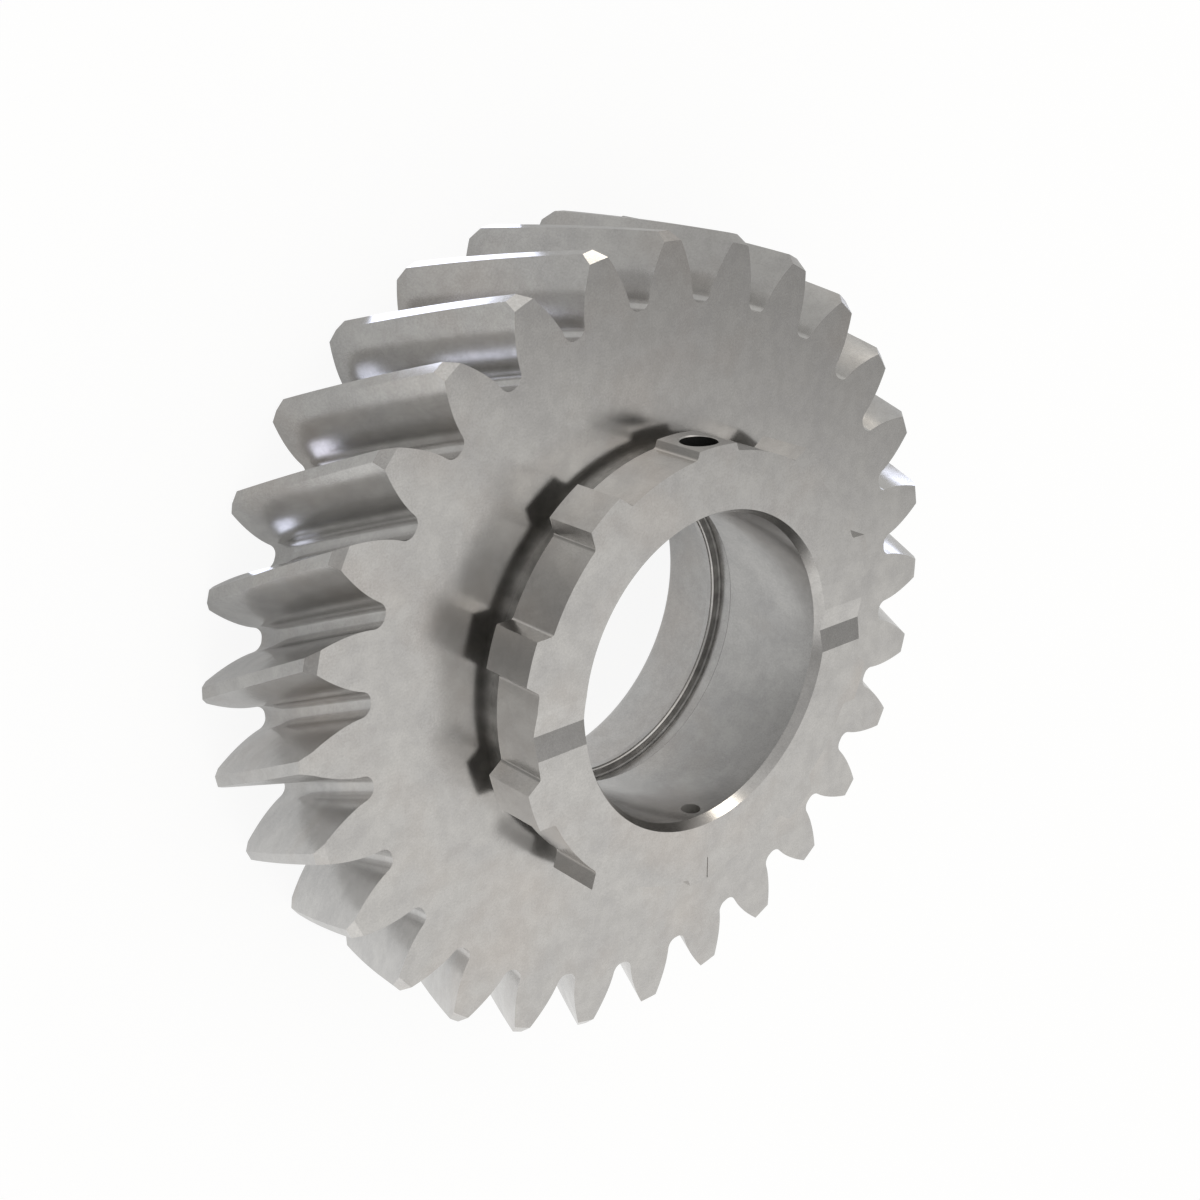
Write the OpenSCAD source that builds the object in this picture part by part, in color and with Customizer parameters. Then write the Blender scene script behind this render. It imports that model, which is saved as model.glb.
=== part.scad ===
// Helical gear with a dog-toothed hub, the loose speed gear of a vehicle gearbox.
// One piece of steel. It lies on its plain rear face with the hub on top: Z is the axis,
// the origin is on the axis at the rear face, and the two low dog teeth lie on +Y and -Y.

/* [Helical teeth] */
// Number of teeth
tooth_count = 28; // [26:1:32]
// Normal module, in mm
normal_module = 3; // [2.9:0.05:3.4]
// Normal pressure angle, in degrees
pressure_angle = 21.5; // [19:0.5:23]
// Helix angle at the pitch circle, in degrees, left-hand
helix_angle = 24.15; // [12:0.05:30]
// Height of a tooth above the pitch circle
addendum = 3.68; // [2.8:0.02:3.8]
// Depth of a tooth below the pitch circle
dedendum = 4.34; // [3.6:0.02:4.6]
// How much thinner a tooth is than the gap, for play in mesh
backlash = 0.08; // [0:0.01:0.2]
// Radius of the fillets at the tooth roots
root_fillet = 1.3; // [0.8:0.05:1.3]
// Width of the toothed rim along the axis
face_width = 21.75; // [18:0.25:28]
// Radial height of the chamfer on both ends of the tooth tips
tip_chamfer = 1.02; // [0.4:0.02:1.4]
// Length of that chamfer along the axis
tip_chamfer_length = 1.05; // [0.4:0.05:1.6]
// Turn from the line through the low dog teeth to the nearest tooth at the hub end, in degrees
tooth_turn = -1.34; // [-6:0.01:6]

/* [Hub] */
// Height of the hub above the toothed rim
hub_height = 8.95; // [7.5:0.05:14]
// Diameter of the neck between the rim and the dog teeth
neck_diameter = 51; // [48:0.5:52]
// Height of that neck
neck_height = 2.1; // [1:0.1:3]

/* [Dog teeth] */
// Number of dog teeth around the hub
dog_count = 10; // [8:2:12]
// Diameter over the dog teeth
dog_tip_diameter = 57; // [56:0.1:60]
// Diameter over the two low dog teeth, which carry the oil holes
low_tip_diameter = 54.8; // [54:0.1:55.8]
// Diameter at the floors of the slots between the dog teeth
slot_floor_diameter = 53; // [52:0.1:53.6]
// Width of a dog tooth at its tip
dog_tip_width = 5; // [4:0.1:7]
// Slope of a dog tooth's flanks against its middle line, in degrees
dog_flank_slope = 19; // [5:1:25]
// Radius of the fillets at the feet of the dog teeth
dog_fillet = 0.5; // [0.2:0.05:0.8]

/* [Bore] */
// Diameter of the bore
bore_diameter = 38; // [34:0.5:40]
// Radial size of the chamfer at the bore's mouth in the hub
mouth_chamfer = 0.65; // [0.3:0.05:1.5]
// Length of that chamfer along the axis
mouth_chamfer_length = 1.25; // [0.5:0.05:2]
// Width of the ring groove inside the bore
groove_width = 3; // [2:0.1:4]
// Depth of the ring groove
groove_depth = 1.3; // [1.1:0.05:1.6]
// Radius of the fillets along the floor of the ring groove
groove_fillet = 0.4; // [0.1:0.05:0.45]
// Height of the ring groove's middle above the rear face
groove_height = 13.3; // [12:0.1:15]
// Radius of the rounded edges of the ring groove
groove_edge_radius = 0.45; // [0.1:0.05:0.6]
// Width of the land between the ring groove and the rear counterbore
land_width = 1; // [0.8:0.1:2]
// Diameter of the counterbore in the rear face
counterbore_diameter = 43; // [42:0.5:47]
// Radius of the rounded mouth of the counterbore
rear_round = 2; // [0.5:0.1:3]

/* [Oil holes and marks] */
// Diameter of the oil hole where it leaves a low dog tooth
hole_mouth_diameter = 4.4; // [3:0.1:5]
// Depth of that wide part, from the top of the low dog tooth
hole_mouth_depth = 4.5; // [3:0.1:6]
// Diameter of the oil hole where it enters the bore
hole_diameter = 2.4; // [1.5:0.1:2.8]
// Distance of the oil holes from the hub's face
hole_below_face = 3.1; // [2.7:0.05:4.5]
// Size of the chamfer round an oil hole's mouth
hole_chamfer = 0.15; // [0.05:0.05:0.3]
// Width of the oil groove across the hub's face
oil_groove_width = 5.6; // [3:0.1:8]
// Depth of that groove at its middle
oil_groove_depth = 0.55; // [0.3:0.05:1]
// Length of the scribed timing line on one low dog tooth
mark_length = 2.85; // [1:0.05:3.2]
// Width and depth of that line
mark_width = 0.15; // [0.1:0.05:0.3]
// Distance of the line's outer end from the top of the tooth
mark_inset = 0.22; // [0.1:0.02:1]

/* [Hidden] */

// Facets of the round forms, and of the curved parts of one tooth
$fn = 96;
fillet_steps = 3;
flank_steps = 5;
dog_tip_steps = 2;
dog_fillet_steps = 4;
slot_steps = 8;
groove_steps = 6;
// Longest turn of the helix between two slices, in degrees
slice_turn = 2.1;
// Overlap of cutting shapes past the faces they cut
over = 1;

// Figures of the helical teeth, in the plane across the axis
pitch_radius = tooth_count * normal_module / cos(helix_angle) / 2;
transverse_angle = atan(tan(pressure_angle) / cos(helix_angle));
base_radius = pitch_radius * cos(transverse_angle);
tip_radius = pitch_radius + addendum;
root_radius = pitch_radius - dedendum;
full_twist = face_width * tan(helix_angle) / pitch_radius * 180 / PI;
pitch_half_angle = 90 / tooth_count - backlash / 2 / pitch_radius * 180 / PI;

// Heights and radii on the hub
hub_top = face_width + hub_height;
dog_radius = dog_tip_diameter / 2;
low_radius = low_tip_diameter / 2;
slot_radius = slot_floor_diameter / 2;
bore_radius = bore_diameter / 2;
groove_half = groove_width / 2;
counterbore_radius = counterbore_diameter / 2;
land_bottom = groove_height - groove_half - land_width;
hole_height = hub_top - hole_below_face;

// A point at a radius and an angle
function polar(r, a) = [r * cos(a), r * sin(a)];

// The involute function, in degrees
function involute(a) = tan(a) * 180 / PI - a;

// Half the angle of a tooth at a radius outside the base circle
function half_angle(r) =
    pitch_half_angle + involute(transverse_angle) - involute(acos(base_radius / r));

// The root fillet's centre lies on the parallel curve of the flank, which is an involute too
fillet_centre_radius = root_radius + root_fillet;
fillet_tangent = sqrt(max(0, pow(fillet_centre_radius, 2) - pow(base_radius, 2)));
fillet_starts_on_involute = fillet_tangent > root_fillet;
flank_start_radius = fillet_starts_on_involute
    ? sqrt(pow(base_radius, 2) + pow(fillet_tangent - root_fillet, 2))
    : fillet_centre_radius * cos(asin(root_fillet / fillet_centre_radius));
fillet_centre_angle = fillet_starts_on_involute
    ? half_angle(fillet_centre_radius) + root_fillet / base_radius * 180 / PI
    : half_angle(base_radius) + asin(root_fillet / fillet_centre_radius);
fillet_centre = polar(fillet_centre_radius, fillet_centre_angle);
flank_start = polar(flank_start_radius, half_angle(max(base_radius, flank_start_radius)));

// The fillet's arc runs from the root circle to the start of the flank
fillet_from = fillet_centre_angle - 180;
fillet_to = atan2(flank_start[1] - fillet_centre[1], flank_start[0] - fillet_centre[0]);
fillet_arc = [for (i = [0:fillet_steps - 1])
    fillet_centre + polar(root_fillet, fillet_from + (fillet_to - fillet_from) * i / fillet_steps)];

// The flank runs from the fillet, or from the base circle, to the tip
flank_first_radius = max(base_radius, flank_start_radius);
flank_line = [for (i = [0:flank_steps])
    let (r = flank_first_radius + (tip_radius - flank_first_radius) * i / flank_steps)
    polar(r, half_angle(r))];

// Half a tooth from its root up, and the whole tooth with its other half mirrored
half_tooth = fillet_starts_on_involute ? concat(fillet_arc, flank_line)
    : concat(fillet_arc, [flank_start], flank_line);
tooth = concat([for (p = half_tooth) [p[0], -p[1]]],
    [for (i = [len(half_tooth) - 1:-1:0]) half_tooth[i]]);

function turned(p, a) = [p[0] * cos(a) - p[1] * sin(a), p[0] * sin(a) + p[1] * cos(a)];

// Section of the toothed rim across the axis
module rim_section() {
    polygon([for (i = [0:tooth_count - 1]) for (p = tooth) turned(p, 360 / tooth_count * i)]);
}

// Turned blank that stands past the rim all round: its two cones chamfer the tooth tips' ends
module rim_blank() {
    cone_rise = tip_chamfer_length / tip_chamfer;
    rotate_extrude($fn = 180)
        polygon([
            [0, -over * cone_rise],
            [tip_radius - tip_chamfer - over, -over * cone_rise],
            [tip_radius + over, tip_chamfer_length + over * cone_rise],
            [tip_radius + over, face_width - tip_chamfer_length - over * cone_rise],
            [tip_radius - tip_chamfer - over, face_width + over * cone_rise],
            [0, face_width + over * cone_rise]
        ]);
}

// The helical teeth: the section is wound up to the hub end, and the tips are chamfered
module toothed_rim() {
    intersection() {
        rotate([0, 0, 90 + tooth_turn + full_twist])
            linear_extrude(height = face_width, twist = full_twist,
                slices = ceil(full_twist / slice_turn))
                rim_section();
        rim_blank();
    }
}

// A dog tooth's flank is the line y = flank_rise - x * flank_slope, beside the tooth's middle line
dog_tip_half = dog_tip_width / 2;
flank_slope = tan(dog_flank_slope);
flank_rise = dog_tip_half + sqrt(pow(dog_radius, 2) - pow(dog_tip_half, 2)) * flank_slope;

// The point where such a line of a given rise meets a circle about the axis
function meet(rise, r) =
    let (x = (rise * flank_slope
        + sqrt(pow(r, 2) * (1 + pow(flank_slope, 2)) - pow(rise, 2))) / (1 + pow(flank_slope, 2)))
    [x, rise - x * flank_slope];

// Points on an arc, both ends included
function arc(centre, r, from, to, steps) =
    [for (i = [0:steps]) centre + polar(r, from + (to - from) * i / steps)];

// The foot fillet's centre is one fillet radius off the flank and off the slot's floor
dog_fillet_centre = meet(flank_rise + dog_fillet / cos(dog_flank_slope), slot_radius + dog_fillet);
dog_foot_angle = atan2(dog_fillet_centre[1], dog_fillet_centre[0]);

// Half the outline of a dog tooth, from the middle of its tip to the slot's floor
function half_dog(r) =
    let (corner = meet(flank_rise, r))
    concat(
        arc([0, 0], r, 0, atan2(corner[1], corner[0]), dog_tip_steps),
        arc(dog_fillet_centre, dog_fillet, 270 - dog_flank_slope, 180 + dog_foot_angle,
            dog_fillet_steps));

// Outline of a dog tooth and of the slot's floor that follows it
function dog_and_slot(r) =
    let (half = half_dog(r), last = len(half) - 1)
    concat(
        [for (i = [last:-1:1]) [half[i][0], -half[i][1]]],
        half,
        [for (i = [1:slot_steps - 1])
            polar(slot_radius, dog_foot_angle
                + (360 / dog_count - 2 * dog_foot_angle) * i / slot_steps)]);

// Section of the ring of dog teeth, whose first and opposite teeth are the low ones
module dog_section() {
    polygon([for (i = [0:dog_count - 1])
        for (p = dog_and_slot(i % (dog_count / 2) == 0 ? low_radius : dog_radius))
            turned(p, 360 / dog_count * i)]);
}

// Neck and dog teeth, solid
module hub() {
    translate([0, 0, face_width - over])
        cylinder(d = neck_diameter, h = neck_height + 2 * over);
    translate([0, 0, face_width + neck_height])
        rotate([0, 0, 90])
            linear_extrude(height = hub_height - neck_height)
                dog_section();
}

// Section of the ring groove from the bore's wall, about the groove's middle: rounded edges,
// straight sides, and fillets along its flat floor
groove_outline =
    let (e = groove_edge_radius, f = groove_fillet)
    concat(
        arc([e, -groove_half - e], e, 180, 90, groove_steps),
        arc([groove_depth - f, f - groove_half], f, -90, 0, groove_steps),
        arc([groove_depth - f, groove_half - f], f, 0, 90, groove_steps),
        arc([e, groove_half + e], e, 270, 180, groove_steps));

// Everything turned out of the middle: bore, ring groove, land and rear counterbore
module bore_space() {
    rotate_extrude()
        difference() {
            polygon(concat(
                [
                    [0, -over],
                    [counterbore_radius + rear_round, -over],
                    [counterbore_radius + rear_round, rear_round],
                    [counterbore_radius, rear_round],
                    [counterbore_radius, land_bottom],
                    [bore_radius, land_bottom]
                ],
                [for (p = groove_outline) [bore_radius, groove_height] + p],
                [
                    [bore_radius, hub_top - mouth_chamfer_length],
                    [bore_radius + mouth_chamfer, hub_top],
                    [bore_radius + mouth_chamfer, hub_top + over],
                    [0, hub_top + over]
                ]
            ));
            translate([counterbore_radius + rear_round, rear_round])
                circle(r = rear_round, $fn = 64);
        }
}

// Stepped oil hole from the top of a low dog tooth to the bore, on the +Y side
module oil_hole() {
    translate([0, 0, hole_height])
        rotate([-90, 0, 0]) {
            translate([0, 0, bore_radius - over])
                cylinder(d = hole_diameter, h = low_radius - bore_radius);
            translate([0, 0, low_radius - hole_mouth_depth])
                cylinder(d = hole_mouth_diameter, h = hole_mouth_depth + over, $fn = 48);
            translate([0, 0, low_radius - hole_chamfer])
                cylinder(d1 = hole_mouth_diameter, h = hole_chamfer + over, $fn = 48,
                    d2 = hole_mouth_diameter + 2 * (hole_chamfer + over));
        }
}

// Shallow V-shaped oil groove along X across the whole hub face
module oil_groove() {
    half_top = oil_groove_width / 2 * (oil_groove_depth + over) / oil_groove_depth;
    translate([-dog_radius - over, 0, hub_top])
        rotate([90, 0, 90])
            linear_extrude(height = 2 * (dog_radius + over))
                polygon([
                    [0, -oil_groove_depth],
                    [half_top, over],
                    [-half_top, over]
                ]);
}

// Scribed timing line on the low dog tooth at -Y
module timing_mark() {
    translate([-mark_width / 2, mark_inset - low_radius, hub_top - mark_width])
        cube([mark_width, mark_length, mark_width + over]);
}

module gear() {
    color("#a8a6a1")
        difference() {
            union() {
                toothed_rim();
                hub();
            }
            bore_space();
            for (side = [0, 180])
                rotate([0, 0, side])
                    oil_hole();
            oil_groove();
            timing_mark();
        }
}

gear();
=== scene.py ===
"""Finished look of a helical speed gear with a dog-toothed hub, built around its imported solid."""

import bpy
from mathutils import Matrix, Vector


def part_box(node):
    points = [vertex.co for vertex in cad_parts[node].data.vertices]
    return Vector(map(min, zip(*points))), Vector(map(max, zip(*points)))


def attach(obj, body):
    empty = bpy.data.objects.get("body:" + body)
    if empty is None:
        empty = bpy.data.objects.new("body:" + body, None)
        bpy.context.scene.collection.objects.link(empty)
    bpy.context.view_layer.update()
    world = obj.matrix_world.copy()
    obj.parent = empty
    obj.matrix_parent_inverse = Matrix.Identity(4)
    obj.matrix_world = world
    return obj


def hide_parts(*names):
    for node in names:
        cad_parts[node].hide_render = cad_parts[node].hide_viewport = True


bl_info = {
    "name": "Helical Speed Gear",
    "version": (1, 0, 0),
    "blender": (4, 5, 0),
    "location": "View3D > Sidebar > Gear",
    "description": "Models a helical gear with a dog-toothed hub, its steel and a photo stage",
    "category": "Add Mesh",
}

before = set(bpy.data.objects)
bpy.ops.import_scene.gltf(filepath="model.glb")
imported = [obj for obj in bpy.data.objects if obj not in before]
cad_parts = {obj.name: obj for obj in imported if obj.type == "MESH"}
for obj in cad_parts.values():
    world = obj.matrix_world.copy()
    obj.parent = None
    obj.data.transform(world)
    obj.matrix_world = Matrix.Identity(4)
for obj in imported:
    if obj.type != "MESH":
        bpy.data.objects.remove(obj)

import math

import bpy
from bpy.props import (FloatProperty, FloatVectorProperty, IntProperty, PointerProperty,
                       StringProperty)
from mathutils import Vector

MM = 0.001
_, frame_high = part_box("gear")
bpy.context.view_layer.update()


def length(name, description, millimetres):
    """A size in a panel, kept in metres."""
    return FloatProperty(name=name, description=description, default=millimetres * MM,
                         min=0.0, unit="LENGTH", precision=5)


def angle(name, description, degrees):
    """An angle in a panel, kept in radians."""
    return FloatProperty(name=name, description=description, default=math.radians(degrees),
                         unit="ROTATION", precision=4)


class ToothSizes(bpy.types.PropertyGroup):
    """Sizes of the helical teeth and of the rim that carries them."""

    count: IntProperty(name="Teeth", description="Number of helical teeth", default=28, min=3)
    module: length("Normal module", "Tooth size, across the tooth", 3.0)
    pressure_angle: angle("Pressure angle", "Normal pressure angle of the flanks", 21.5)
    helix_angle: angle("Helix angle", "Lean of the teeth at the pitch circle, left-hand", 24.15)
    tip_radius: length("Tip radius", "Radius over the teeth", frame_high.y / MM)
    root_radius: length("Root radius", "Radius at the bottom of the gaps", 41.688)
    backlash: length("Backlash", "How much thinner a tooth is than the gap", 0.08)
    root_fillet: length("Root fillet", "Radius between flank and root circle", 1.3)
    width: length("Face width", "Width of the rim along the axis", 21.75)
    chamfer_height: length("Tip chamfer", "Radial height of the tips' end chamfers", 1.02)
    chamfer_length: length("Chamfer length", "Length of those chamfers along the axis", 1.05)
    turn: angle("Turn", "From the low dog teeth's line to the next tooth, at the hub end", -1.34)


class HubSizes(bpy.types.PropertyGroup):
    """Sizes of the hub, its dog teeth and what is cut into its face."""

    neck_radius: length("Neck radius", "Radius between rim and dog teeth", 25.5)
    neck_height: length("Neck height", "Clear height under the dog teeth", 2.1)
    dog_count: IntProperty(name="Dog teeth", description="Number of dog teeth", default=10, min=4)
    dog_radius: length("Dog tip radius", "Radius over the dog teeth", 28.5)
    low_radius: length("Low tip radius", "Radius over the two drilled dog teeth", 27.4)
    slot_radius: length("Slot floor radius", "Radius of the floors between dog teeth", 26.5)
    dog_width: length("Dog tip width", "Width of a dog tooth at its tip", 5.0)
    dog_slope: angle("Dog flank slope", "Lean of a dog tooth's flanks", 19.0)
    dog_fillet: length("Dog fillet", "Radius at the feet of the dog teeth", 0.5)
    oil_groove_width: length("Oil groove width", "Width across the hub face", 5.6)
    oil_groove_depth: length("Oil groove depth", "Depth at its middle", 0.55)
    mark_length: length("Mark length", "Length of the scribed timing line", 2.85)
    mark_width: length("Mark width", "Width and depth of that line", 0.15)
    mark_inset: length("Mark inset", "From the top of the tooth to the line", 0.22)


class BoreSizes(bpy.types.PropertyGroup):
    """Sizes of the bore, its ring groove and the two oil holes."""

    radius: length("Bore radius", "Radius of the running bore", 19.0)
    chamfer_height: length("Mouth chamfer", "Radial size of the mouth chamfer", 0.65)
    chamfer_length: length("Mouth length", "Length of that chamfer", 1.25)
    groove_width: length("Groove width", "Width of the ring groove", 3.0)
    groove_depth: length("Groove depth", "Depth of the ring groove", 1.3)
    groove_height: length("Groove height", "Middle of the ring groove above the rear face", 13.3)
    groove_ease: length("Groove ease", "Radius of the groove's rounded edges", 0.45)
    groove_fillet: length("Groove fillet", "Radius along the groove's floor", 0.4)
    land_width: length("Land width", "Between ring groove and counterbore", 1.0)
    rear_radius: length("Rear radius", "Radius of the rear counterbore", 21.5)
    rear_round: length("Rear round", "Radius of the counterbore's mouth", 2.0)
    hole_mouth_radius: length("Hole mouth radius", "Oil hole at the dog tooth", 2.2)
    hole_mouth_depth: length("Hole mouth depth", "Depth of that wide part", 4.5)
    hole_radius: length("Hole radius", "Oil hole at the bore", 1.2)
    hole_below_face: length("Hole below face", "From the hub face to the oil holes", 3.1)
    hole_chamfer: length("Hole chamfer", "Broken edge of the hole's mouth", 0.15)


def polar(radius, turn):
    """The point at a radius and an angle about the axis."""
    return Vector((radius * math.cos(turn), radius * math.sin(turn), 0))


def arc(centre, radius, start, end, steps):
    """Points along an arc, both ends included."""
    return [centre + polar(radius, start + (end - start) * i / steps) for i in range(steps + 1)]


def turned(point, turn):
    """A point turned about the axis."""
    c, s = math.cos(turn), math.sin(turn)
    return Vector((point.x * c - point.y * s, point.x * s + point.y * c, point.z))


def mirrored(points):
    """The points on the other side of a tooth's middle line, in reverse order."""
    return [Vector((p.x, -p.y, p.z)) for p in reversed(points)]


def repeated(outline, count):
    """An outline repeated around the axis."""
    return [turned(p, math.tau * i / count) for i in range(count) for p in outline]


def tooth_outline(sizes):
    """A helical tooth across the axis: involute flanks, with fillets tangent to the root circle."""
    fillet_steps, flank_steps, tip_steps, root_steps = 10, 14, 3, 2
    pitch_radius = sizes.count * sizes.module / math.cos(sizes.helix_angle) / 2
    pressure = math.atan(math.tan(sizes.pressure_angle) / math.cos(sizes.helix_angle))
    base_radius = pitch_radius * math.cos(pressure)
    pitch_half = math.pi / 2 / sizes.count - sizes.backlash / 2 / pitch_radius

    def half_angle(radius):
        roll = math.acos(base_radius / radius)
        return pitch_half + (math.tan(pressure) - pressure) - (math.tan(roll) - roll)

    # The fillet's centre lies on the flank's parallel curve, which is an involute too
    fillet = sizes.root_fillet
    centre_radius = sizes.root_radius + fillet
    centre = polar(centre_radius, half_angle(centre_radius) + fillet / base_radius)
    centre_turn = math.atan2(centre.y, centre.x)
    tangent = math.sqrt(centre_radius**2 - base_radius**2)
    flank_radius = math.hypot(base_radius, tangent - fillet)
    flank_start = polar(flank_radius, half_angle(flank_radius)) - centre
    fillet_arc = arc(centre, fillet, centre_turn - math.pi,
                     math.atan2(flank_start.y, flank_start.x), fillet_steps)
    radii = [flank_radius + (sizes.tip_radius - flank_radius) * i / flank_steps
             for i in range(1, flank_steps + 1)]
    half = fillet_arc + [polar(r, half_angle(r)) for r in radii]
    tip_half = half_angle(sizes.tip_radius)
    tip = arc(Vector(), sizes.tip_radius, -tip_half, tip_half, tip_steps)[1:-1]
    root = arc(Vector(), sizes.root_radius, centre_turn,
               math.tau / sizes.count - centre_turn, root_steps)[1:-1]
    return mirrored(half[::-1]) + tip + half[::-1] + root


def dog_outline(sizes, tip_radius):
    """A dog tooth with sloped flanks and foot fillets, and the slot floor that follows it."""
    tip_steps, fillet_steps, slot_steps = 4, 10, 12
    slope = math.tan(sizes.dog_slope)
    tip_half = sizes.dog_width / 2
    rise = tip_half + math.sqrt(sizes.dog_radius**2 - tip_half**2) * slope

    def meet(line_rise, radius):
        reach = math.sqrt(radius**2 * (1 + slope**2) - line_rise**2)
        x = (line_rise * slope + reach) / (1 + slope**2)
        return Vector((x, line_rise - x * slope, 0))

    fillet = sizes.dog_fillet
    corner = meet(rise, tip_radius)
    centre = meet(rise + fillet / math.cos(sizes.dog_slope), sizes.slot_radius + fillet)
    foot = math.atan2(centre.y, centre.x)
    half = arc(Vector(), tip_radius, 0, math.atan2(corner.y, corner.x), tip_steps)
    half += arc(centre, fillet, math.pi * 3 / 2 - sizes.dog_slope, math.pi + foot, fillet_steps)
    slot = arc(Vector(), sizes.slot_radius, foot, math.tau / sizes.dog_count - foot, slot_steps)
    return mirrored(half[1:]) + half + slot[1:-1]


def select_only(piece):
    """Makes this piece the only selected one, and the active one."""
    bpy.ops.object.select_all(action="DESELECT")
    piece.select_set(True)
    bpy.context.view_layer.objects.active = piece


def face_outwards():
    """Turns all faces of the piece in edit mode outwards, and leaves edit mode."""
    bpy.ops.mesh.select_all(action="SELECT")
    bpy.ops.mesh.normals_make_consistent(inside=False)
    bpy.ops.object.mode_set(mode="OBJECT")


def extruded(name, outline, rise, twist=0.0, slices=1):
    """A circle's vertices set on an outline and filled, then extruded, with a twist about Z."""
    bpy.ops.object.select_all(action="DESELECT")
    bpy.ops.mesh.primitive_circle_add(vertices=len(outline), radius=1.0, fill_type="NGON")
    piece = bpy.context.object
    piece.name = name
    for vertex, point in zip(piece.data.vertices, outline):
        vertex.co = point
    bpy.ops.object.mode_set(mode="EDIT")
    bpy.ops.mesh.select_all(action="SELECT")
    for _ in range(slices):
        bpy.ops.mesh.extrude_region_move(TRANSFORM_OT_translate={"value": rise / slices})
        if twist:
            # With no window this operator turns the other way
            bpy.ops.transform.rotate(value=-twist / slices, orient_axis="Z",
                                     center_override=(0, 0, 0))
    face_outwards()
    return piece


def spun(name, profile, steps, centre=Vector(), across=Vector((1, 0, 0)), along=Vector((0, 0, 1))):
    """One vertex drawn along a profile of (radius, height) pairs, then spun about the axis."""
    merge_distance = MM / 1000
    points = [centre + across * radius + along * height for radius, height in profile]
    bpy.ops.object.select_all(action="DESELECT")
    bpy.ops.mesh.primitive_plane_add(size=MM)
    piece = bpy.context.object
    piece.name = name
    bpy.ops.object.mode_set(mode="EDIT")
    bpy.ops.mesh.select_all(action="SELECT")
    bpy.ops.mesh.merge(type="CENTER")
    bpy.ops.transform.translate(value=points[0])
    for start, end in zip(points, points[1:]):
        bpy.ops.mesh.extrude_region_move(TRANSFORM_OT_translate={"value": end - start})
    bpy.ops.mesh.select_all(action="SELECT")
    bpy.ops.mesh.spin(steps=steps, angle=math.tau, center=centre, axis=along)
    bpy.ops.mesh.select_all(action="SELECT")
    bpy.ops.mesh.remove_doubles(threshold=merge_distance)
    face_outwards()
    return piece


def combine(piece, tool, operation):
    """Unites a piece with a tool, or cuts it with the tool, and removes the tool."""
    select_only(piece)
    boolean = piece.modifiers.new(tool.name, "BOOLEAN")
    boolean.operation = operation
    boolean.solver = "EXACT"
    boolean.object = tool
    boolean.material_mode = "TRANSFER"
    bpy.ops.object.modifier_apply(modifier=boolean.name)
    bpy.data.objects.remove(tool)


def make_toothed_rim(teeth):
    """The helical teeth: the section is wound up to the hub end, and the tips are chamfered."""
    over = MM
    helix_slices, blank_steps = 12, 360
    pitch_radius = teeth.count * teeth.module / math.cos(teeth.helix_angle) / 2
    twist = teeth.width * math.tan(teeth.helix_angle) / pitch_radius
    start = math.pi / 2 + teeth.turn + twist
    section = [turned(p, start) for p in repeated(tooth_outline(teeth), teeth.count)]
    rim = extruded("steel_gear", section, Vector((0, 0, teeth.width)), -twist, helix_slices)
    # The blank stands past the rim all round, so that only its two cones cut the teeth
    cone_rise = over * teeth.chamfer_length / teeth.chamfer_height
    narrow = teeth.tip_radius - teeth.chamfer_height - over
    wide = teeth.tip_radius + over
    blank = spun("tip_chamfers", [
        (0, -cone_rise),
        (narrow, -cone_rise),
        (wide, teeth.chamfer_length + cone_rise),
        (wide, teeth.width - teeth.chamfer_length - cone_rise),
        (narrow, teeth.width + cone_rise),
        (0, teeth.width + cone_rise),
    ], blank_steps)
    combine(rim, blank, "INTERSECT")
    return rim


def paint(tool, finishes, which):
    """Gives each face of a tool the finish whose number follows from where its middle is."""
    for finish in finishes:
        tool.data.materials.append(finish)
    for face in tool.data.polygons:
        face.material_index = which(face.center)


def add_hub(gear, teeth, hub, unground_and_shade):
    """The neck and the ring of dog teeth, of which the first and the opposite one are low."""
    over = MM
    # Faces this close to the ring's underside belong to it
    near = over / 10
    neck_steps = 240
    steel = gear.data.materials[0]
    neck = spun("neck", [
        (0, teeth.width - over),
        (hub.neck_radius, teeth.width - over),
        (hub.neck_radius, teeth.width + hub.neck_height + over),
        (0, teeth.width + hub.neck_height + over),
    ], neck_steps)
    # The neck under the dog teeth takes the darker steel with painted shade
    neck.data.materials.append(unground_and_shade)
    combine(gear, neck, "UNION")
    bottom = teeth.width + hub.neck_height
    outline = []
    for i in range(hub.dog_count):
        low = i % (hub.dog_count // 2) == 0
        dog = dog_outline(hub, hub.low_radius if low else hub.dog_radius)
        turn = math.pi / 2 + math.tau * i / hub.dog_count
        outline += [turned(p, turn) + Vector((0, 0, bottom)) for p in dog]
    ring = extruded("dog_ring", outline, Vector((0, 0, frame_high.z - bottom)))
    # The ring's underside takes the darker steel with painted shade, its other faces the ground
    # steel
    paint(ring, (unground_and_shade, steel), lambda place: int(place.z > bottom + near))
    combine(gear, ring, "UNION")


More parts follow.
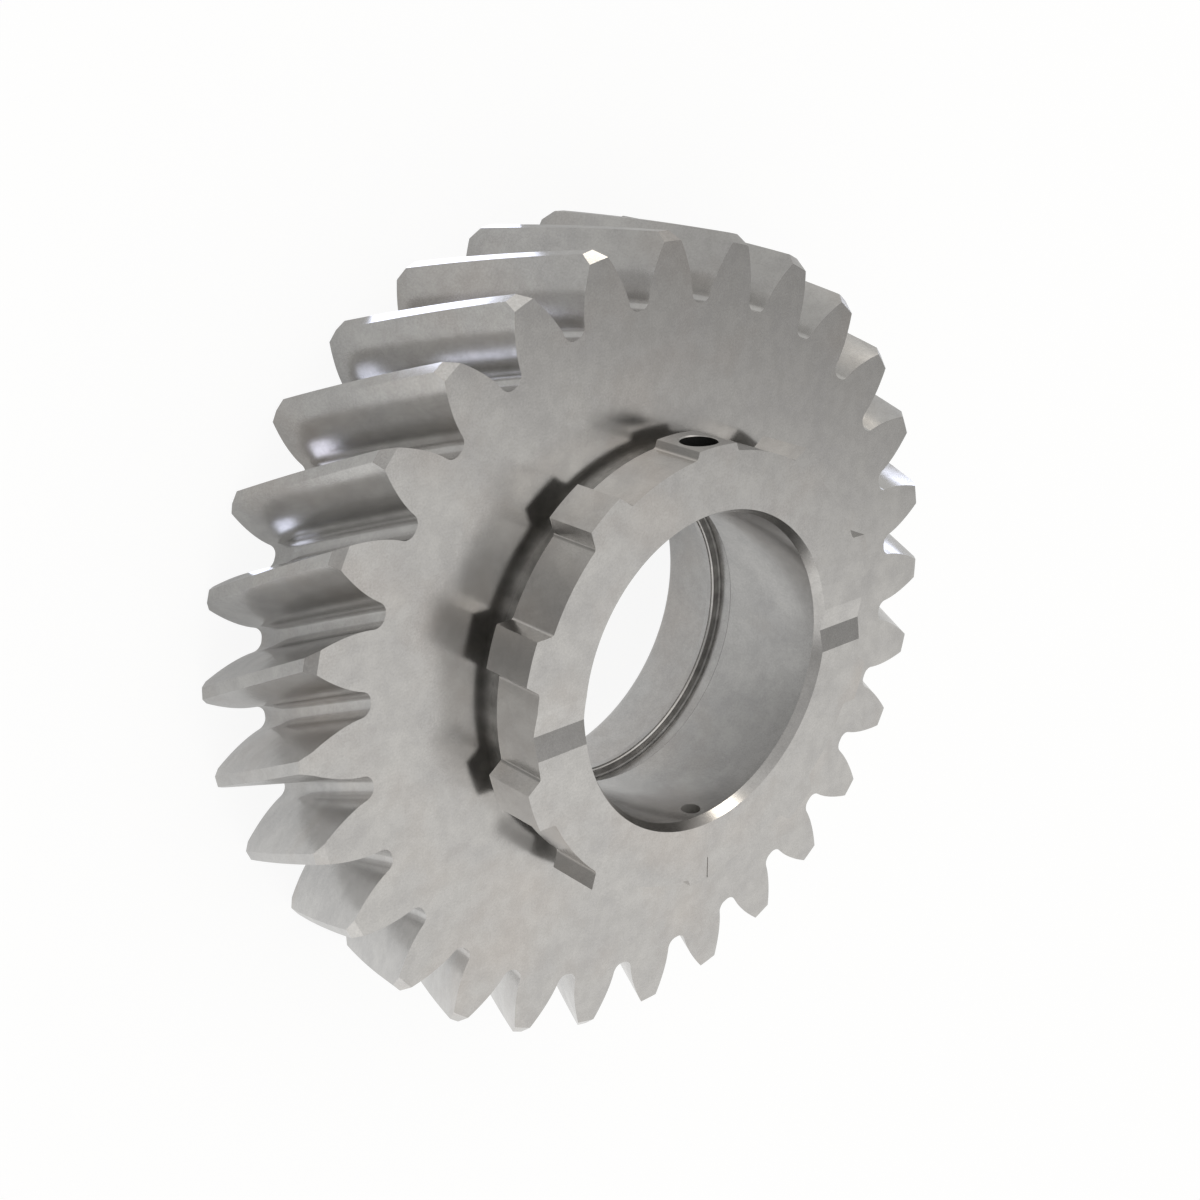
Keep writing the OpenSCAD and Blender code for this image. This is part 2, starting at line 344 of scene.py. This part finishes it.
def bore_profile(bore):
    """Half section of all that is turned out of the middle, from the rear to the hub face."""
    over = MM
    round_steps, groove_steps = 12, 10
    quarter = math.pi / 2
    top = frame_high.z
    rear = arc(Vector((bore.rear_radius + bore.rear_round, bore.rear_round, 0)), bore.rear_round,
               quarter * 3, quarter * 2, round_steps)
    half, ease, fillet = bore.groove_width / 2, bore.groove_ease, bore.groove_fillet
    floor = bore.groove_depth - fillet
    groove = arc(Vector((ease, -half - ease, 0)), ease, quarter * 2, quarter, groove_steps)
    groove += arc(Vector((floor, fillet - half, 0)), fillet, -quarter, 0, groove_steps)
    groove += arc(Vector((floor, half - fillet, 0)), fillet, 0, quarter, groove_steps)
    groove += arc(Vector((ease, half + ease, 0)), ease, quarter * 3, quarter * 2, groove_steps)
    land_bottom = bore.groove_height - half - bore.land_width
    profile = [(0, -over), (bore.rear_radius + bore.rear_round, -over)]
    profile += [(p.x, p.y) for p in rear]
    profile += [(bore.rear_radius, land_bottom), (bore.radius, land_bottom)]
    profile += [(bore.radius + p.x, bore.groove_height + p.y) for p in groove]
    profile += [(bore.radius, top - bore.chamfer_length), (bore.radius + bore.chamfer_height, top),
                (bore.radius + bore.chamfer_height, top + over), (0, top + over)]
    return profile


def cut_bore(gear, hub, bore, unground_and_shade, scale, lighter_scale_and_shade):
    """The bore with its ring groove, and the two stepped oil holes with scale and painted shade on
    their walls.
    """
    over = MM
    near = over / 20
    bore_steps, hole_steps = 256, 72
    steel = gear.data.materials[0]
    tool = spun("bore", bore_profile(bore), bore_steps)
    # The darker unground steel with painted shade covers the groove's rear wall, past its rounded
    # edge, and the fillet at its foot
    wall = bore.radius + bore.groove_ease / 2
    rear = bore.groove_height - bore.groove_width / 2
    paint(tool, (steel, unground_and_shade), lambda place: int(
        place.xy.length > wall and -near < place.z - rear < bore.groove_fillet))
    combine(gear, tool, "DIFFERENCE")
    centre = Vector((0, 0, frame_high.z - bore.hole_below_face))
    step = hub.low_radius - bore.hole_mouth_depth
    edge = hub.low_radius - bore.hole_chamfer
    for side in (-1, 1):
        hole = spun("oil_hole", [
            (0, bore.radius - over),
            (bore.hole_radius, bore.radius - over),
            (bore.hole_radius, step),
            (bore.hole_mouth_radius, step),
            (bore.hole_mouth_radius, edge),
            (bore.hole_mouth_radius + bore.hole_chamfer + over, hub.low_radius + over),
            (0, hub.low_radius + over),
        ], hole_steps, centre, Vector((side, 0, 0)), Vector((0, side, 0)))
        # Black scale with painted shade at the mouth, and a lighter copy where the hole meets the
        # bore
        paint(hole, (lighter_scale_and_shade, scale, steel),
              lambda place: (abs(place.y) > step) + (abs(place.y) > edge))
        combine(gear, hole, "DIFFERENCE")


def cut_face(gear, hub):
    """The shallow V-shaped oil groove along X and the scribed timing line at -Y."""
    over = MM
    top = frame_high.z
    end = -hub.dog_radius - over
    half = hub.oil_groove_width / 2 * (hub.oil_groove_depth + over) / hub.oil_groove_depth
    groove = extruded("oil_groove", [
        Vector((end, 0, top - hub.oil_groove_depth)),
        Vector((end, half, top + over)),
        Vector((end, -half, top + over)),
    ], Vector((-2 * end, 0, 0)))
    combine(gear, groove, "DIFFERENCE")
    side = hub.mark_width / 2
    outer = hub.mark_inset - hub.low_radius
    mark = extruded("timing_line", [
        Vector((-side, outer, top - hub.mark_width)),
        Vector((side, outer, top - hub.mark_width)),
        Vector((side, outer + hub.mark_length, top - hub.mark_width)),
        Vector((-side, outer + hub.mark_length, top - hub.mark_width)),
    ], Vector((0, 0, hub.mark_width + over)))
    combine(gear, mark, "DIFFERENCE")


class SteelFinish(bpy.types.PropertyGroup):
    """The steel's look."""

    colour: StringProperty(name="Colour", description="The steel itself", default="#D9D8D6")
    cloud: StringProperty(name="Cloud", description="Soft darker clouds", default="#D1D0CF")
    stain: StringProperty(name="Stain", description="Faint warm stains", default="#D9D1CA")
    # The undercut colour is darker partly as painted shade under the dog teeth and in the ring
    # groove
    undercut_and_shade: StringProperty(name="Undercut", description="Unground steel under the dog teeth",
                             default="#B9B8B6")
    # Both scale colours are partly painted shade: black at the holes' mouths, lighter where the
    # holes meet the bore and light reaches
    scale: StringProperty(name="Scale", description="Dark scale in the holes", default="#161615")
    lighter_scale_and_shade: StringProperty(name="Thin scale", description="Scale where the holes meet the bore",
                               default="#92908D")
    roughness: FloatProperty(name="Roughness", description="Of the ground faces", default=0.22,
                             min=0.0, max=1.0, subtype="FACTOR")
    unground_roughness: FloatProperty(name="Unground roughness", description="Of unground steel",
                                      default=0.45, min=0.0, max=1.0, subtype="FACTOR")
    cloud_size: length("Cloud size", "Size of the soft clouds", 5.0)
    mottle_size: length("Mottle size", "Size of the peened mottling", 2.0)
    stain_size: length("Stain size", "Size of the warm stains", 16.0)
    grain_size: length("Grain size", "Size of the fine etched grain", 0.25)


class StageLook(bpy.types.PropertyGroup):
    """Floor, lamps and camera."""

    floor_colour: StringProperty(name="Floor", description="Pale studio floor", default="#F0F0EE")
    surroundings: StringProperty(name="Surroundings", description="Their warm tint",
                                 default="#FFFDFA")
    warm_lamps: StringProperty(name="Warm lamps", description="Their colour", default="#FFF6E8")
    cool_lamps: StringProperty(name="Cool lamps", description="Their colour", default="#E2E8FF")
    camera_place: FloatVectorProperty(name="Camera place", description="Where the camera stands",
                                      default=(-127.8287 * MM, 77.9449 * MM, 155.0835 * MM),
                                      subtype="XYZ", unit="LENGTH", precision=5)
    camera_turn: FloatVectorProperty(name="Camera turn", description="How the camera is turned",
                                     default=[math.radians(degrees) for degrees in (
                                         -21.1501, -41.5648, 0.0185)],
                                     subtype="EULER", unit="ROTATION", precision=5)
    lens: FloatProperty(name="Lens", description="Focal length in millimetres", default=50.0,
                        min=1.0)


def linear(hex_colour):
    """An sRGB hex colour as the linear values that a shader takes."""
    channels = [int(hex_colour[i:i + 2], 16) / 255 for i in (1, 3, 5)]
    return [c / 12.92 if c <= 0.04045 else ((c + 0.055) / 1.055) ** 2.4 for c in channels] + [1.0]


def add_node(tree, kind, settings=(), inputs=(), links=()):
    """Adds a shader node with its settings and input values, and links other sockets to it."""
    node = tree.nodes.new(kind)
    for name, value in dict(settings).items():
        setattr(node, name, value)
    for name, value in dict(inputs).items():
        node.inputs[name].default_value = value
    for name, socket in dict(links).items():
        tree.links.new(socket, node.inputs[name])
    return node


def new_material(name):
    """An empty node material and its tree."""
    material = bpy.data.materials.new(name)
    material.use_nodes = True
    material.node_tree.nodes.clear()
    return material, material.node_tree


def soft_patches(tree, place, size, detail, low, high, start, end):
    """Noise with features of this size, in which low to high becomes start to end."""
    noise = add_node(tree, "ShaderNodeTexNoise", inputs={
        "Scale": 1 / size, "Detail": detail, "Roughness": 0.6}, links={"Vector": place})
    return add_node(tree, "ShaderNodeMapRange", inputs={
        "From Min": low, "From Max": high, "To Min": start, "To Max": end},
        links={"Value": noise.outputs["Fac"]}).outputs["Result"]


def layered(tree, place, base, layers):
    """A colour under soft patches of others: each one's colour, size, detail, range and share."""
    below = add_node(tree, "ShaderNodeRGB").outputs["Color"]
    below.default_value = linear(base)
    for colour, size, detail, low, high, share in layers:
        patches = soft_patches(tree, place, size, detail, low, high, 0.0, share)
        below = add_node(tree, "ShaderNodeMixRGB", inputs={"Color2": linear(colour)},
                         links={"Fac": patches, "Color1": below}).outputs["Color"]
    return below


def case_hardened_steel(finish):
    """Case-hardened steel, ground and bead-peened: a satin sheen with faint clouds and stains."""
    material, tree = new_material("case_hardened_steel")
    place = add_node(tree, "ShaderNodeTexCoord").outputs["Object"]
    # The real grain is too fine to show, so it is drawn coarser
    colour = layered(tree, place, finish.cloud, (
        (finish.colour, finish.cloud_size, 6.0, 0.35, 0.65, 1.0),
        (finish.stain, finish.stain_size, 4.0, 0.5, 0.7, 0.4),
        (finish.scale, finish.mottle_size, 3.0, 0.4, 0.6, 0.065),
        (finish.scale, finish.grain_size, 2.0, 0.3, 0.7, 0.1)))
    sheen_change = 0.04
    roughness = soft_patches(tree, place, finish.cloud_size, 6.0, 0.3, 0.7,
                             finish.roughness + sheen_change, finish.roughness - sheen_change)
    steel = add_node(tree, "ShaderNodeBsdfPrincipled", inputs={"Metallic": 1.0},
                     links={"Base Color": colour, "Roughness": roughness})
    add_node(tree, "ShaderNodeOutputMaterial", links={"Surface": steel.outputs["BSDF"]})
    return material


def unground_steel_and_shade(finish):
    """Steel that the grinding wheel didn't reach: duller, and darker with dark mottles, partly from
    hardening and partly as painted shade under the dog teeth and on the ring groove's rear wall.
    """
    material, tree = new_material("unground_steel_and_painted_shade")
    place = add_node(tree, "ShaderNodeTexCoord").outputs["Object"]
    # Darker colour and dark mottles: painted shade where this steel lies under the dog teeth and in
    # the groove
    colour = layered(tree, place, finish.undercut_and_shade, (
        (finish.scale, finish.mottle_size, 3.0, 0.35, 0.65, 0.4),))
    steel = add_node(tree, "ShaderNodeBsdfPrincipled", inputs={
        "Metallic": 1.0, "Roughness": finish.unground_roughness}, links={"Base Color": colour})
    add_node(tree, "ShaderNodeOutputMaterial", links={"Surface": steel.outputs["BSDF"]})
    return material


def scale_and_painted_shade(name, finish, colour):
    """The oxide that hardening leaves in drilled holes, dull, with painted shade: black at the
    mouth, grey inside where light from the bore reaches.
    """
    material, tree = new_material(name)
    place = add_node(tree, "ShaderNodeTexCoord").outputs["Object"]
    roughness = soft_patches(tree, place, finish.cloud_size / 10, 3.0, 0.3, 0.7, 0.5, 0.7)
    scale = add_node(tree, "ShaderNodeBsdfPrincipled", inputs={"Base Color": linear(colour)},
                     links={"Roughness": roughness})
    add_node(tree, "ShaderNodeOutputMaterial", links={"Surface": scale.outputs["BSDF"]})
    return material


def graded_towards(tree, place, direction, levels):
    """Grey levels along a direction, given as {how far a place lies that way, -1 to 1: level}."""
    part = add_node(tree, "ShaderNodeVectorMath", {"operation": "DOT_PRODUCT"},
                    {1: direction}, {0: place})
    share = add_node(tree, "ShaderNodeMapRange", inputs={"From Min": -1.0, "From Max": 1.0},
                     links={"Value": part.outputs["Value"]})
    ramp = add_node(tree, "ShaderNodeValToRGB", links={"Fac": share.outputs["Result"]})
    elements = ramp.color_ramp.elements
    while len(elements) < len(levels):
        elements.new(0.5)
    for element, mark in zip(elements, levels):
        element.position = (mark + 1) / 2
    for element, level in zip(elements, levels.values()):
        element.color = (level, level, level, 1)
    return ramp.outputs["Color"]


def pale_floor(stage):
    """Matt painted studio floor: it keeps the gear's shadow, and is white to the camera."""
    material, tree = new_material("matt_studio_paint")
    path = add_node(tree, "ShaderNodeLightPath")
    place = add_node(tree, "ShaderNodeTexCoord").outputs["Object"]
    matt = add_node(tree, "ShaderNodeBsdfDiffuse", inputs={"Color": linear(stage.floor_colour)})
    # With the matt paint's share, which holds the shadow, the two come to white
    white = add_node(tree, "ShaderNodeEmission", inputs={"Strength": 1.07})
    # Metal sees the floor as a sweep of painted light and shade, brighter towards -Y and darker
    # towards +Y, given along Y in quarters of a metre
    quarters_along_y = (0.0, 4.0, 0.0)
    painted_sweep = add_node(tree, "ShaderNodeEmission", inputs={"Strength": 1.0}, links={
        "Color": graded_towards(tree, place, quarters_along_y, {
            -1.0: 1.2, -0.25: 1.15, -0.08: 0.92, 0.0: 0.69, 0.04: 0.5, 0.1: 0.56, 0.6: 0.6,
            0.8: 0.37})})
    surface = matt.outputs["BSDF"]
    for rays, seen, share in ((("Is Camera Ray",), white, 0.84),
                              (("Is Glossy Ray", "Is Transmission Ray"), painted_sweep, 0.6)):
        for ray in rays:
            fac = add_node(tree, "ShaderNodeMath", {"operation": "MULTIPLY"}, {1: share},
                           {0: path.outputs[ray]}).outputs["Value"]
            surface = add_node(tree, "ShaderNodeMixShader", links={
                "Fac": fac, 1: surface, 2: seen.outputs["Emission"]}).outputs["Shader"]
    add_node(tree, "ShaderNodeOutputMaterial", links={"Surface": surface})
    return material


def studio_world(stage):
    """Soft studio surroundings with two bright sides, and white to the camera."""
    world = bpy.data.worlds.new("studio")
    world.use_nodes = True
    tree = world.node_tree
    tree.nodes.clear()
    front_side, back_side = (-0.067, -0.964, 0.259), (0.147, 0.692, 0.707)
    path = add_node(tree, "ShaderNodeLightPath")
    place = add_node(tree, "ShaderNodeTexCoord").outputs["Generated"]
    front = graded_towards(tree, place, front_side, {
        -1.0: 0.47, 0.1: 0.46, 0.22: 0.28, 0.35: 0.41, 0.43: 0.74, 0.6: 0.79, 0.75: 0.8, 0.87: 0.95,
        1.0: 1.03})
    towards_back = add_node(tree, "ShaderNodeVectorMath", {"operation": "DOT_PRODUCT"},
                            {1: back_side}, {0: place}).outputs["Value"]
    back = add_node(tree, "ShaderNodeMapRange", inputs={
        "From Min": 0.76, "From Max": 1.0, "To Max": 0.58},
        links={"Value": towards_back}).outputs["Result"]
    both = add_node(tree, "ShaderNodeMixRGB", {"blend_type": "ADD"}, {"Color2": (1, 1, 1, 1)},
                    {"Fac": back, "Color1": front}).outputs["Color"]
    tint = add_node(tree, "ShaderNodeMixRGB", {"blend_type": "MULTIPLY"}, {
        "Fac": 1.0, "Color2": linear(stage.surroundings)}, {"Color1": both}).outputs["Color"]
    light = add_node(tree, "ShaderNodeBackground", links={"Color": tint})
    white = add_node(tree, "ShaderNodeBackground", inputs={"Strength": 1.0, "Color": (1, 1, 1, 1)})
    mix = add_node(tree, "ShaderNodeMixShader", links={
        "Fac": path.outputs["Is Camera Ray"], 1: light.outputs["Background"],
        2: white.outputs["Background"]})
    add_node(tree, "ShaderNodeOutputWorld", links={"Surface": mix.outputs["Shader"]})
    return world


def add_softbox(name, place, target, width, height, radiance, colour, spread=math.pi):
    """A rectangular softbox of this brightness, which a grid may keep to a spread."""
    bpy.ops.object.light_add(type="AREA", location=place)
    lamp = bpy.context.object
    lamp.name = name
    lamp.data.shape = "RECTANGLE"
    lamp.data.size = width
    lamp.data.size_y = height
    lamp.data.energy = radiance * math.pi * width * height
    lamp.data.color = linear(colour)[:3]
    lamp.data.spread = spread
    lamp.visible_camera = False
    lamp.rotation_euler = (Vector(target) - lamp.location).to_track_quat("-Z", "Y").to_euler()


class GEAR_OT_add_gear(bpy.types.Operator):
    """Model the gear and give it its steel"""

    bl_idname = "gear.add_gear"
    bl_label = "Add Gear"

    def execute(self, context):
        scene = context.scene
        teeth, hub, bore = scene.gear_teeth, scene.gear_hub, scene.gear_bore
        finish = scene.gear_steel
        gear = make_toothed_rim(teeth)
        gear.data.materials.clear()
        gear.data.materials.append(case_hardened_steel(finish))
        unground_and_shade = unground_steel_and_shade(finish)
        add_hub(gear, teeth, hub, unground_and_shade)
        # Hole colours with painted shade: black at the mouths, a lighter copy towards the bore
        scale = scale_and_painted_shade("scale_and_painted_shade", finish, finish.scale)
        lighter_scale_and_shade = scale_and_painted_shade("lit_scale_and_painted_shade", finish, finish.lighter_scale_and_shade)
        cut_bore(gear, hub, bore, unground_and_shade, scale, lighter_scale_and_shade)
        cut_face(gear, hub)
        select_only(gear)
        sharp_edge = math.radians(10)
        bpy.ops.object.shade_smooth_by_angle(angle=sharp_edge)
        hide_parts("gear")
        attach(gear, "root")
        return {"FINISHED"}


class GEAR_OT_add_stage(bpy.types.Operator):
    """Add the floor, the soft lamps and the camera"""

    bl_idname = "gear.add_stage"
    bl_label = "Add Stage"

    def execute(self, context):
        scene = context.scene
        stage = scene.gear_stage
        bpy.ops.object.select_all(action="DESELECT")
        bpy.ops.mesh.primitive_plane_add(size=6.0)
        floor = context.object
        floor.name = "floor"
        floor.data.materials.append(pale_floor(stage))
        scene.world = studio_world(stage)
        middle = (0, 0, frame_high.z / 2)
        warm, cool = stage.warm_lamps, stage.cool_lamps
        add_softbox("side_softbox", (0.4, 0.92, 0.16), middle, 0.3, 0.22, 4.0, warm)
        # Light strips on the floor, which face up and show in the tips and in the far flanks
        for name, x, y, width, height, radiance, colour, spread in (
                ("left_strip", -0.018, 0.051, 0.028, 0.014, 1.7, cool, 110),
                ("gap_strip_1", -0.031, 0.033, 0.005, 0.003, 1.0, cool, 90),
                ("gap_strip_2", -0.0365, 0.0245, 0.003, 0.003, 0.9, cool, 90),
                ("gap_strip_3", -0.0415, 0.0155, 0.0025, 0.0025, 0.8, cool, 90),
                ("right_strip", 0.102, 0.029, 0.016, 0.034, 2.2, cool, 180),
                ("back_strip", 0.105, 0.156, 0.02, 0.06, 1.1, warm, 180)):
            add_softbox(name, (x, y, MM), (x, y, 1.0), width, height, radiance, colour,
                        math.radians(spread))
        bpy.ops.object.camera_add(location=stage.camera_place, rotation=stage.camera_turn)
        camera = context.object
        camera.data.lens = stage.lens
        camera.data.clip_start = 10 * MM
        scene.camera = camera
        scene.view_settings.view_transform = "Standard"
        return {"FINISHED"}


class GEAR_PT_panel(bpy.types.Panel):
    """The gear's sizes and looks in the 3D view's sidebar"""

    bl_label = "Helical Gear"
    bl_space_type = "VIEW_3D"
    bl_region_type = "UI"
    bl_category = "Gear"

    def draw(self, context):
        for group in ("gear_teeth", "gear_hub", "gear_bore", "gear_steel", "gear_stage"):
            values = getattr(context.scene, group)
            box = self.layout.box()
            for name in values.__annotations__:
                box.prop(values, name)
        for operator in (GEAR_OT_add_gear, GEAR_OT_add_stage):
            self.layout.operator(operator.bl_idname)


GROUPS = {
    "gear_teeth": ToothSizes,
    "gear_hub": HubSizes,
    "gear_bore": BoreSizes,
    "gear_steel": SteelFinish,
    "gear_stage": StageLook,
}
CLASSES = (*GROUPS.values(), GEAR_OT_add_gear, GEAR_OT_add_stage, GEAR_PT_panel)


def register():
    for cls in CLASSES:
        bpy.utils.register_class(cls)
    for name, cls in GROUPS.items():
        setattr(bpy.types.Scene, name, PointerProperty(type=cls))


def unregister():
    for name in GROUPS:
        delattr(bpy.types.Scene, name)
    for cls in reversed(CLASSES):
        bpy.utils.unregister_class(cls)


def main():
    """Builds the gear and the stage."""
    register()
    bpy.ops.gear.add_gear()
    bpy.ops.gear.add_stage()


if __name__ == "__main__":
    main()
